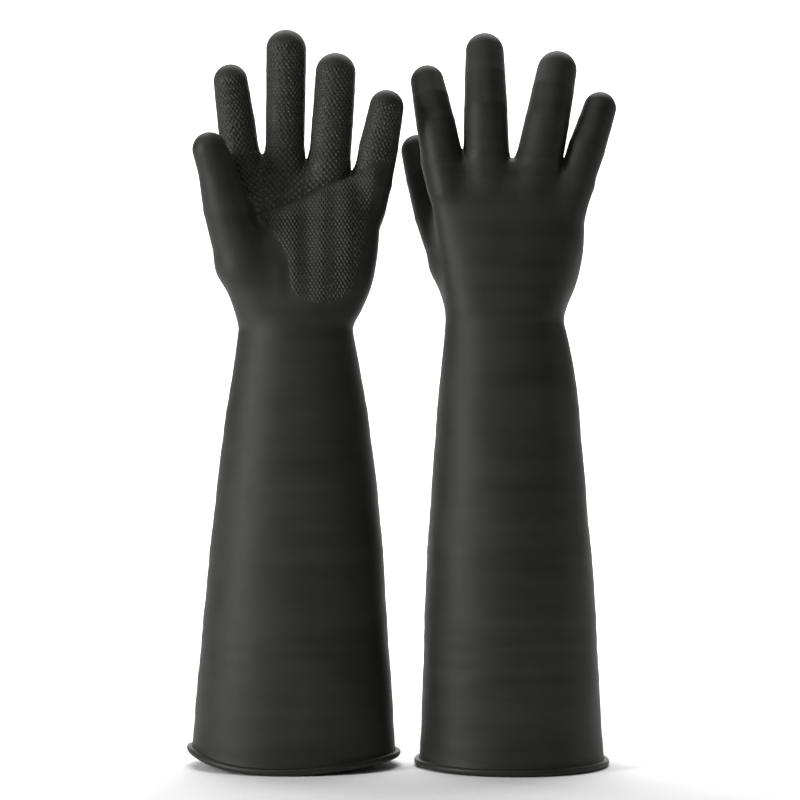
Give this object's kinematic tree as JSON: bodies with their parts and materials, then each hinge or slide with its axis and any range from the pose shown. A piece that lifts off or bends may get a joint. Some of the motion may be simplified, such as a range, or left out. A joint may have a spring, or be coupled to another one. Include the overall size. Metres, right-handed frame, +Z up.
{
  "type": "electrical insulating gloves",
  "caption": "Pair of long black rubber insulating gauntlets with a textured palm grip and rolled cuffs, standing with the fingers up; wrists, fingers and thumbs bend.",
  "frame": {"origin": "centre of the pair on the surface that the cuffs stand on", "axes": "+Z up, from the cuffs to the fingertips; +X from the left glove to the right glove; the left palm faces -Y and the right palm faces +Y"},
  "size_m": [0.3258, 0.1292, 0.56],
  "materials": {
    "skin_rubber": "matte black dipped rubber with a soft sheen; raised grip cells on the palm and the palm side of the fingers",
    "bead_rubber": "matte black rubber rolled into a bead"
  },
  "bodies": {
    "left_gauntlet": {"left_gauntlet": "skin_rubber", "left_cuff_bead": "bead_rubber"},
    "left_hand": {"left_palm": "skin_rubber"},
    "left_index_base": {"left_index_base": "skin_rubber"},
    "left_index_mid": {"left_index_mid": "skin_rubber"},
    "left_index_tip": {"left_index_tip": "skin_rubber"},
    "left_middle_base": {"left_middle_base": "skin_rubber"},
    "left_middle_mid": {"left_middle_mid": "skin_rubber"},
    "left_middle_tip": {"left_middle_tip": "skin_rubber"},
    "left_ring_base": {"left_ring_base": "skin_rubber"},
    "left_ring_mid": {"left_ring_mid": "skin_rubber"},
    "left_ring_tip": {"left_ring_tip": "skin_rubber"},
    "left_little_base": {"left_little_base": "skin_rubber"},
    "left_little_mid": {"left_little_mid": "skin_rubber"},
    "left_little_tip": {"left_little_tip": "skin_rubber"},
    "left_thumb_base": {"left_thumb_base": "skin_rubber"},
    "left_thumb_tip": {"left_thumb_tip": "skin_rubber"},
    "right_gauntlet": {"right_gauntlet": "skin_rubber", "right_cuff_bead": "bead_rubber"},
    "right_hand": {"right_palm": "skin_rubber"},
    "right_index_base": {"right_index_base": "skin_rubber"},
    "right_index_mid": {"right_index_mid": "skin_rubber"},
    "right_index_tip": {"right_index_tip": "skin_rubber"},
    "right_middle_base": {"right_middle_base": "skin_rubber"},
    "right_middle_mid": {"right_middle_mid": "skin_rubber"},
    "right_middle_tip": {"right_middle_tip": "skin_rubber"},
    "right_ring_base": {"right_ring_base": "skin_rubber"},
    "right_ring_mid": {"right_ring_mid": "skin_rubber"},
    "right_ring_tip": {"right_ring_tip": "skin_rubber"},
    "right_little_base": {"right_little_base": "skin_rubber"},
    "right_little_mid": {"right_little_mid": "skin_rubber"},
    "right_little_tip": {"right_little_tip": "skin_rubber"},
    "right_thumb_base": {"right_thumb_base": "skin_rubber"},
    "right_thumb_tip": {"right_thumb_tip": "skin_rubber"}
  },
  "joints": [
    {"name": "left_wrist_bend", "type": "hinge", "parent": "left_gauntlet", "child": "left_hand", "pos_m": [-0.0794, 0, 0.3306], "axis": [1, 0, 0], "range_deg": [-35, 35], "stiffness_Nm_per_rad": 3},
    {"name": "left_index_knuckle", "type": "hinge", "parent": "left_hand", "child": "left_index_base", "pos_m": [-0.1197, 0, 0.4613], "axis": [0.993, 0, 0.1184], "range_deg": [-10, 40], "stiffness_Nm_per_rad": 0.15},
    {"name": "left_index_middle_bend", "type": "hinge", "parent": "left_index_base", "child": "left_index_mid", "pos_m": [-0.12276, -0.00363, 0.48695], "axis": [0.993, 0, 0.1184], "range_deg": [0, 55], "stiffness_Nm_per_rad": 0.1},
    {"name": "left_index_tip_bend", "type": "hinge", "parent": "left_index_mid", "child": "left_index_tip", "pos_m": [-0.12507, -0.00997, 0.50631], "axis": [0.993, 0, 0.1184], "range_deg": [0, 33], "stiffness_Nm_per_rad": 0.04},
    {"name": "left_middle_knuckle", "type": "hinge", "parent": "left_hand", "child": "left_middle_base", "pos_m": [-0.0882, 0, 0.4636], "axis": [0.9999, 0, -0.0157], "range_deg": [-10, 60], "stiffness_Nm_per_rad": 0.15},
    {"name": "left_middle_middle_bend", "type": "hinge", "parent": "left_middle_base", "child": "left_middle_mid", "pos_m": [-0.08764, -0.00503, 0.49937], "axis": [0.9999, 0, -0.0157], "range_deg": [0, 70], "stiffness_Nm_per_rad": 0.1},
    {"name": "left_middle_tip_bend", "type": "hinge", "parent": "left_middle_mid", "child": "left_middle_tip", "pos_m": [-0.08721, -0.0138, 0.52636], "axis": [0.9999, 0, -0.0157], "range_deg": [0, 42], "stiffness_Nm_per_rad": 0.04},
    {"name": "left_ring_knuckle", "type": "hinge", "parent": "left_hand", "child": "left_ring_base", "pos_m": [-0.0536, 0, 0.4575], "axis": [0.9981, 0, -0.061], "range_deg": [-10, 60], "stiffness_Nm_per_rad": 0.15},
    {"name": "left_ring_middle_bend", "type": "hinge", "parent": "left_ring_base", "child": "left_ring_mid", "pos_m": [-0.05173, -0.0043, 0.48806], "axis": [0.9981, 0, -0.061], "range_deg": [0, 70], "stiffness_Nm_per_rad": 0.1},
    {"name": "left_ring_tip_bend", "type": "hinge", "parent": "left_ring_mid", "child": "left_ring_tip", "pos_m": [-0.05032, -0.01181, 0.51112], "axis": [0.9981, 0, -0.061], "range_deg": [0, 42], "stiffness_Nm_per_rad": 0.04},
    {"name": "left_little_knuckle", "type": "hinge", "parent": "left_hand", "child": "left_little_base", "pos_m": [-0.0224, 0, 0.4431], "axis": [0.9863, 0, -0.165], "range_deg": [-10, 60], "stiffness_Nm_per_rad": 0.15},
    {"name": "left_little_middle_bend", "type": "hinge", "parent": "left_little_base", "child": "left_little_mid", "pos_m": [-0.01812, -0.00364, 0.46867], "axis": [0.9863, 0, -0.165], "range_deg": [0, 70], "stiffness_Nm_per_rad": 0.1},
    {"name": "left_little_tip_bend", "type": "hinge", "parent": "left_little_mid", "child": "left_little_tip", "pos_m": [-0.01489, -0.01, 0.48796], "axis": [0.9863, 0, -0.165], "range_deg": [0, 42], "stiffness_Nm_per_rad": 0.04},
    {"name": "left_thumb_knuckle", "type": "hinge", "parent": "left_hand", "child": "left_thumb_base", "pos_m": [-0.1296, -0.026, 0.4203], "axis": [-0.6113, -0.6947, -0.3791], "range_deg": [-40, 15], "stiffness_Nm_per_rad": 0.2},
    {"name": "left_thumb_tip_bend", "type": "hinge", "parent": "left_thumb_base", "child": "left_thumb_tip", "pos_m": [-0.13744, -0.03425, 0.44806], "axis": [-0.6113, -0.6947, -0.3791], "range_deg": [-50, 15], "stiffness_Nm_per_rad": 0.1},
    {"name": "right_wrist_bend", "type": "hinge", "parent": "right_gauntlet", "child": "right_hand", "pos_m": [0.0794, 0, 0.3367], "axis": [-1, 0, 0], "range_deg": [-35, 35], "stiffness_Nm_per_rad": 3},
    {"name": "right_index_knuckle", "type": "hinge", "parent": "right_hand", "child": "right_index_base", "pos_m": [0.0315, 0, 0.4606], "axis": [-0.9829, 0, -0.184], "range_deg": [-10, 40], "stiffness_Nm_per_rad": 0.15},
    {"name": "right_index_middle_bend", "type": "hinge", "parent": "right_index_base", "child": "right_index_mid", "pos_m": [0.02661, 0.00374, 0.48673], "axis": [-0.9829, 0, -0.184], "range_deg": [0, 55], "stiffness_Nm_per_rad": 0.1},
    {"name": "right_index_tip_bend", "type": "hinge", "parent": "right_index_mid", "child": "right_index_tip", "pos_m": [0.02292, 0.01026, 0.50645], "axis": [-0.9829, 0, -0.184], "range_deg": [0, 33], "stiffness_Nm_per_rad": 0.04},
    {"name": "right_middle_knuckle", "type": "hinge", "parent": "right_hand", "child": "right_middle_base", "pos_m": [0.0654, 0, 0.4636], "axis": [-0.9998, 0, -0.0175], "range_deg": [-10, 60], "stiffness_Nm_per_rad": 0.15},
    {"name": "right_middle_middle_bend", "type": "hinge", "parent": "right_middle_base", "child": "right_middle_mid", "pos_m": [0.0648, 0.00481, 0.49785], "axis": [-0.9998, 0, -0.0175], "range_deg": [0, 70], "stiffness_Nm_per_rad": 0.1},
    {"name": "right_middle_tip_bend", "type": "hinge", "parent": "right_middle_mid", "child": "right_middle_tip", "pos_m": [0.06435, 0.01321, 0.52369], "axis": [-0.9998, 0, -0.0175], "range_deg": [0, 42], "stiffness_Nm_per_rad": 0.04},
    {"name": "right_ring_knuckle", "type": "hinge", "parent": "right_hand", "child": "right_ring_base", "pos_m": [0.1053, 0, 0.4575], "axis": [-0.9848, 0, 0.1736], "range_deg": [-10, 60], "stiffness_Nm_per_rad": 0.15},
    {"name": "right_ring_middle_bend", "type": "hinge", "parent": "right_ring_base", "child": "right_ring_mid", "pos_m": [0.11082, 0.00447, 0.4888], "axis": [-0.9848, 0, 0.1736], "range_deg": [0, 70], "stiffness_Nm_per_rad": 0.1},
    {"name": "right_ring_tip_bend", "type": "hinge", "parent": "right_ring_mid", "child": "right_ring_tip", "pos_m": [0.11498, 0.01226, 0.51241], "axis": [-0.9848, 0, 0.1736], "range_deg": [0, 42], "stiffness_Nm_per_rad": 0.04},
    {"name": "right_little_knuckle", "type": "hinge", "parent": "right_hand", "child": "right_little_base", "pos_m": [0.1345, 0, 0.4438], "axis": [-0.9563, 0, 0.2924], "range_deg": [-10, 60], "stiffness_Nm_per_rad": 0.15},
    {"name": "right_little_middle_bend", "type": "hinge", "parent": "right_little_base", "child": "right_little_mid", "pos_m": [0.14206, 0.00364, 0.46854], "axis": [-0.9563, 0, 0.2924], "range_deg": [0, 70], "stiffness_Nm_per_rad": 0.1},
    {"name": "right_little_tip_bend", "type": "hinge", "parent": "right_little_mid", "child": "right_little_tip", "pos_m": [0.14777, 0.00998, 0.48721], "axis": [-0.9563, 0, 0.2924], "range_deg": [0, 42], "stiffness_Nm_per_rad": 0.04},
    {"name": "right_thumb_knuckle", "type": "hinge", "parent": "right_hand", "child": "right_thumb_base", "pos_m": [0.0259, 0.0265, 0.4203], "axis": [0.6113, -0.6947, 0.3791], "range_deg": [-40, 15], "stiffness_Nm_per_rad": 0.2},
    {"name": "right_thumb_tip_bend", "type": "hinge", "parent": "right_thumb_base", "child": "right_thumb_tip", "pos_m": [0.01806, 0.03475, 0.44806], "axis": [0.6113, -0.6947, 0.3791], "range_deg": [-50, 15], "stiffness_Nm_per_rad": 0.1},
    {"name": "gloves_apart", "type": "slide", "parent": "left_gauntlet", "child": "right_gauntlet", "axis": [1, 0, 0], "range_m": [0, 0.15]}
  ],
  "couplings": [
    {"joint": "left_index_tip_bend", "follows": "left_index_middle_bend", "ratio": 0.6},
    {"joint": "left_middle_tip_bend", "follows": "left_middle_middle_bend", "ratio": 0.6},
    {"joint": "left_ring_tip_bend", "follows": "left_ring_middle_bend", "ratio": 0.6},
    {"joint": "left_little_tip_bend", "follows": "left_little_middle_bend", "ratio": 0.6},
    {"joint": "right_index_tip_bend", "follows": "right_index_middle_bend", "ratio": 0.6},
    {"joint": "right_middle_tip_bend", "follows": "right_middle_middle_bend", "ratio": 0.6},
    {"joint": "right_ring_tip_bend", "follows": "right_ring_middle_bend", "ratio": 0.6},
    {"joint": "right_little_tip_bend", "follows": "right_little_middle_bend", "ratio": 0.6}
  ]
}
